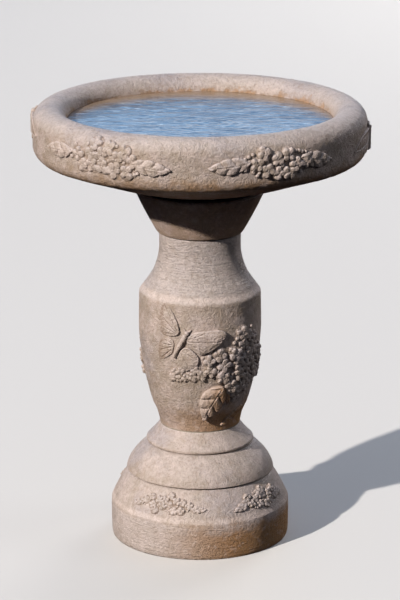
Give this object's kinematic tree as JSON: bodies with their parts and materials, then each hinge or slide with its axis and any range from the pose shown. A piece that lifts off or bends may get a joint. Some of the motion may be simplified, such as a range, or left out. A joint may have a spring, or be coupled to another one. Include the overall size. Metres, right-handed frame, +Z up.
{
  "type": "bird bath",
  "caption": "Round shallow basin with a thick rolled rim on a flared, bellied pedestal with a stepped domed foot, with relief flowers and butterflies.",
  "frame": {"origin": "on the ground at the centre of the plinth's underside", "axes": "+Z up along the pedestal, -Y to the front, where the column's butterfly is"},
  "size_m": [0.5314, 0.5274, 0.699],
  "materials": {
    "cast_stone": "sandy, weathered",
    "relief_stone": "sandy, weathered",
    "steel": "zinc plated",
    "rubber": "matt",
    "mortar": "rough"
  },
  "bodies": {
    "pedestal": {"capital": "cast_stone", "column": "cast_stone", "plinth": "cast_stone", "tie_rod": "steel", "upper_nut": "steel", "upper_washer": "steel", "lower_nut": "steel", "lower_washer": "steel", "upper_bedding_ring": "mortar", "lower_bedding_ring": "mortar", "column_butterfly_front": "relief_stone", "column_butterfly_back": "relief_stone", "column_blossoms_front": "relief_stone", "column_blossoms_back": "relief_stone", "column_leaves_front": "relief_stone", "column_leaves_back": "relief_stone", "plinth_garland_front_left": "relief_stone", "plinth_garland_front_right": "relief_stone", "plinth_garland_back_left": "relief_stone", "plinth_garland_back_right": "relief_stone"},
    "bowl_seat": {"seat_pad": "rubber"},
    "basin": {"bowl": "cast_stone", "bowl_socket": "steel", "rim_garland_front_left": "relief_stone", "rim_garland_front_right": "relief_stone", "rim_garland_back_left": "relief_stone", "rim_garland_back_right": "relief_stone", "rim_butterfly_left": "relief_stone", "rim_butterfly_right": "relief_stone"}
  },
  "joints": [
    {"name": "bowl_turn", "type": "hinge", "parent": "pedestal", "child": "bowl_seat", "pos_m": [0, 0, 0.566], "axis": [0, 0, 1], "continuous": true},
    {"name": "bowl_lift", "type": "slide", "parent": "bowl_seat", "child": "basin", "axis": [0, 0, 1], "range_m": [0, 0.08]}
  ]
}
